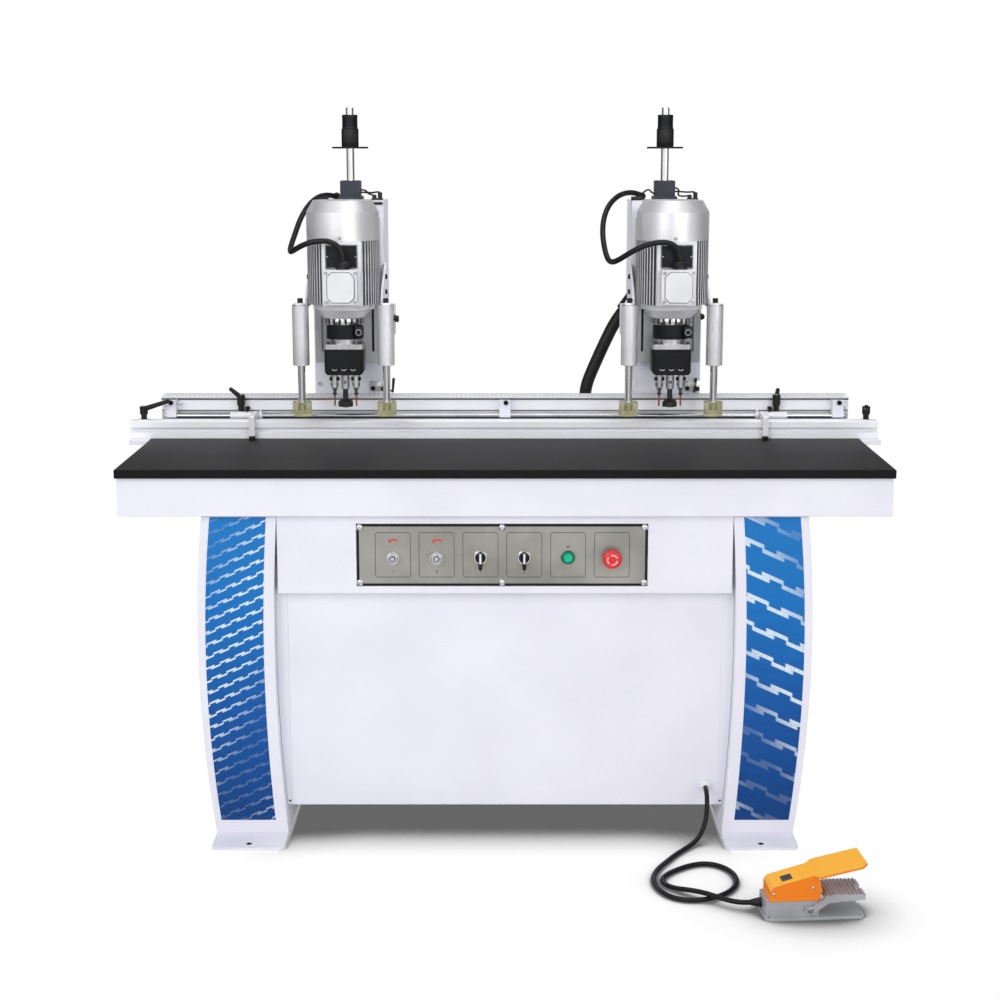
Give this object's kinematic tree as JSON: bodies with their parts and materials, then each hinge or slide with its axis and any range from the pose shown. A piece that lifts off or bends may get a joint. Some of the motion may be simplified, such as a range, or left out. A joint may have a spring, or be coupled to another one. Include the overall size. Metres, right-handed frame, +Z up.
{
  "type": "hinge boring machine",
  "caption": "Floor-standing hinge boring machine: long table with fence and flip stops, pneumatic boring heads with triple spindles and clamps, control panel and foot pedal.",
  "frame": {"origin": "on the floor, at the centre of the four foot-bolt holes", "axes": "+X along the table to the operator's right, +Y away from the operator, +Z up"},
  "size_m": [1.689, 1.0869, 1.535],
  "materials": {
    "white_paint": "satin powder coat",
    "table_laminate": "matt black laminate on board",
    "stainless": "brushed",
    "aluminium": "anodised",
    "steel": "ground",
    "chrome": "polished",
    "motor_paint": "silver paint on die casting",
    "black_oxide": "black satin",
    "charcoal_block": "dark anodised",
    "black_plastic": "moulded",
    "red_plastic": "moulded",
    "green_plastic": "moulded",
    "urethane": "cast translucent urethane",
    "cord_rubber": "matt",
    "pedal_casting": "grey hammer paint",
    "guard_plastic": "moulded"
  },
  "bodies": {
    "root": {"legs": "white_paint", "cabinet": "white_paint", "control_fascia": "white_paint", "control_plate": "stainless", "table_frame": "white_paint", "table_top": "table_laminate", "rear_beam": "aluminium", "ruler_rail": "aluminium", "stop_rod": "chrome", "pedal_base": "pedal_casting", "pedal_guard": "guard_plastic", "cord_glands": "black_plastic", "head_hose": "cord_rubber", "foot_cord": "cord_rubber"},
    "fence": {"fence_bar": "aluminium"},
    "fence_lever_left": {"fence_lever_left": "black_plastic"},
    "fence_lever_right": {"fence_lever_right": "black_plastic"},
    "pressure_knob_1": {"pressure_knob_1": "aluminium"},
    "pressure_knob_2": {"pressure_knob_2": "aluminium"},
    "selector_1": {"selector_1": "black_plastic"},
    "selector_2": {"selector_2": "black_plastic"},
    "start_button": {"start_button": "green_plastic"},
    "estop_button": {"estop_button": "red_plastic"},
    "pedal_treadle": {"pedal_treadle": "pedal_casting"},
    "left_carriage": {"left_column": "white_paint", "left_feed_cylinder": "charcoal_block", "left_clamp_cylinders": "aluminium", "left_motor_cable": "cord_rubber"},
    "left_slide": {"left_slide_plate": "aluminium", "left_motor_housing": "motor_paint", "left_fan_cover": "motor_paint", "left_drill_box": "black_oxide", "left_feed_rod": "chrome"},
    "left_depth_stop": {"left_depth_stop": "black_oxide"},
    "left_clamps": {"left_clamp_rods": "chrome", "left_clamp_pads": "urethane"},
    "left_spindle_center": {"left_spindle_center": "steel"},
    "left_spindle_left": {"left_spindle_left": "steel"},
    "left_spindle_right": {"left_spindle_right": "steel"},
    "right_carriage": {"right_column": "white_paint", "right_feed_cylinder": "charcoal_block", "right_clamp_cylinders": "aluminium", "right_motor_cable": "cord_rubber"},
    "right_slide": {"right_slide_plate": "aluminium", "right_motor_housing": "motor_paint", "right_fan_cover": "motor_paint", "right_drill_box": "black_oxide", "right_feed_rod": "chrome"},
    "right_depth_stop": {"right_depth_stop": "black_oxide"},
    "right_clamps": {"right_clamp_rods": "chrome", "right_clamp_pads": "urethane"},
    "right_spindle_center": {"right_spindle_center": "steel"},
    "right_spindle_left": {"right_spindle_left": "steel"},
    "right_spindle_right": {"right_spindle_right": "steel"},
    "stop_left": {"stop_sleeve_left": "aluminium"},
    "stop_arm_left": {"stop_arm_left": "white_paint"},
    "stop_lever_left": {"stop_lever_left": "black_plastic"},
    "stop_right": {"stop_sleeve_right": "aluminium"},
    "stop_arm_right": {"stop_arm_right": "white_paint"},
    "stop_lever_right": {"stop_lever_right": "black_plastic"}
  },
  "joints": [
    {"name": "fence_adjust", "type": "slide", "parent": "root", "child": "fence", "axis": [0, 1, 0], "range_m": [-0.005, 0.005]},
    {"name": "fence_lever_left_turn", "type": "hinge", "parent": "fence", "child": "fence_lever_left", "pos_m": [-0.817, 0.106, 0.85], "axis": [0, 0, 1], "range_deg": [-100, 0]},
    {"name": "fence_lever_right_turn", "type": "hinge", "parent": "fence", "child": "fence_lever_right", "pos_m": [0.817, 0.106, 0.85], "axis": [0, 0, 1], "range_deg": [-90, 90]},
    {"name": "pressure_knob_1_turn", "type": "hinge", "parent": "root", "child": "pressure_knob_1", "pos_m": [-0.233, -0.285, 0.61], "axis": [0, -1, 0], "range_deg": [-150, 150]},
    {"name": "pressure_knob_2_turn", "type": "hinge", "parent": "root", "child": "pressure_knob_2", "pos_m": [-0.142, -0.285, 0.61], "axis": [0, -1, 0], "range_deg": [-150, 150]},
    {"name": "selector_1_turn", "type": "hinge", "parent": "root", "child": "selector_1", "pos_m": [-0.051, -0.285, 0.61], "axis": [0, -1, 0], "range_deg": [-45, 45]},
    {"name": "selector_2_turn", "type": "hinge", "parent": "root", "child": "selector_2", "pos_m": [0.04, -0.285, 0.61], "axis": [0, -1, 0], "range_deg": [-45, 45]},
    {"name": "start_press", "type": "slide", "parent": "root", "child": "start_button", "axis": [0, 1, 0], "range_m": [0, 0.003], "stiffness_N_per_m": 800, "springref_m": -0.002},
    {"name": "estop_press", "type": "slide", "parent": "root", "child": "estop_button", "axis": [0, 1, 0], "range_m": [0, 0.004]},
    {"name": "treadle_press", "type": "hinge", "parent": "root", "child": "pedal_treadle", "pos_m": [0.57903, -0.67578, 0.02], "axis": [-0.0785, 0.9969, 0], "range_deg": [0, 9], "stiffness_Nm_per_rad": 4, "springref_deg": -11.46},
    {"name": "left_head_traverse", "type": "slide", "parent": "root", "child": "left_carriage", "axis": [1, 0, 0], "range_m": [-0.06, 0.15]},
    {"name": "left_feed", "type": "slide", "parent": "left_carriage", "child": "left_slide", "axis": [0, 0, -1], "range_m": [0, 0.072], "deforming": ["left_motor_cable"]},
    {"name": "left_depth_adjust", "type": "slide", "parent": "left_slide", "child": "left_depth_stop", "axis": [0, 0, 1], "range_m": [0, 0.012]},
    {"name": "left_clamp_stroke", "type": "slide", "parent": "left_carriage", "child": "left_clamps", "axis": [0, 0, -1], "range_m": [0, 0.05]},
    {"name": "left_spindle_center_spin", "type": "hinge", "parent": "left_slide", "child": "left_spindle_center", "pos_m": [-0.356, 0.062, 1], "axis": [0, 0, 1], "continuous": true},
    {"name": "left_spindle_left_spin", "type": "hinge", "parent": "left_slide", "child": "left_spindle_left", "pos_m": [-0.38, 0.062, 1], "axis": [0, 0, 1], "continuous": true},
    {"name": "left_spindle_right_spin", "type": "hinge", "parent": "left_slide", "child": "left_spindle_right", "pos_m": [-0.332, 0.062, 1], "axis": [0, 0, 1], "continuous": true},
    {"name": "right_head_traverse", "type": "slide", "parent": "root", "child": "right_carriage", "axis": [1, 0, 0], "range_m": [-0.06, 0.06], "deforming": ["head_hose"]},
    {"name": "right_feed", "type": "slide", "parent": "right_carriage", "child": "right_slide", "axis": [0, 0, -1], "range_m": [0, 0.072], "deforming": ["right_motor_cable"]},
    {"name": "right_depth_adjust", "type": "slide", "parent": "right_slide", "child": "right_depth_stop", "axis": [0, 0, 1], "range_m": [0, 0.012]},
    {"name": "right_clamp_stroke", "type": "slide", "parent": "right_carriage", "child": "right_clamps", "axis": [0, 0, -1], "range_m": [0, 0.05]},
    {"name": "right_spindle_center_spin", "type": "hinge", "parent": "right_slide", "child": "right_spindle_center", "pos_m": [0.368, 0.062, 1], "axis": [0, 0, 1], "continuous": true},
    {"name": "right_spindle_left_spin", "type": "hinge", "parent": "right_slide", "child": "right_spindle_left", "pos_m": [0.344, 0.062, 1], "axis": [0, 0, 1], "continuous": true},
    {"name": "right_spindle_right_spin", "type": "hinge", "parent": "right_slide", "child": "right_spindle_right", "pos_m": [0.392, 0.062, 1], "axis": [0, 0, 1], "continuous": true},
    {"name": "stop_left_slide", "type": "slide", "parent": "root", "child": "stop_left", "axis": [1, 0, 0], "range_m": [-0.1, 0.02]},
    {"name": "stop_arm_left_flip", "type": "hinge", "parent": "stop_left", "child": "stop_arm_left", "pos_m": [-0.569, 0.14, 0.845], "axis": [-1, 0, 0], "range_deg": [0, 80]},
    {"name": "stop_lever_left_turn", "type": "hinge", "parent": "stop_left", "child": "stop_lever_left", "pos_m": [-0.6016, 0.14, 0.87], "axis": [0, 0, 1], "range_deg": [0, 100]},
    {"name": "stop_right_slide", "type": "slide", "parent": "root", "child": "stop_right", "axis": [1, 0, 0], "range_m": [-0.02, 0.09]},
    {"name": "stop_arm_right_flip", "type": "hinge", "parent": "stop_right", "child": "stop_arm_right", "pos_m": [0.586, 0.14, 0.845], "axis": [-1, 0, 0], "range_deg": [0, 80]},
    {"name": "stop_lever_right_turn", "type": "hinge", "parent": "stop_right", "child": "stop_lever_right", "pos_m": [0.6186, 0.14, 0.87], "axis": [0, 0, 1], "range_deg": [-60, 60]}
  ],
  "couplings": [
    {"joint": "left_spindle_left_spin", "follows": "left_spindle_center_spin", "ratio": -1},
    {"joint": "left_spindle_right_spin", "follows": "left_spindle_center_spin", "ratio": -1},
    {"joint": "right_spindle_left_spin", "follows": "right_spindle_center_spin", "ratio": -1},
    {"joint": "right_spindle_right_spin", "follows": "right_spindle_center_spin", "ratio": -1}
  ]
}
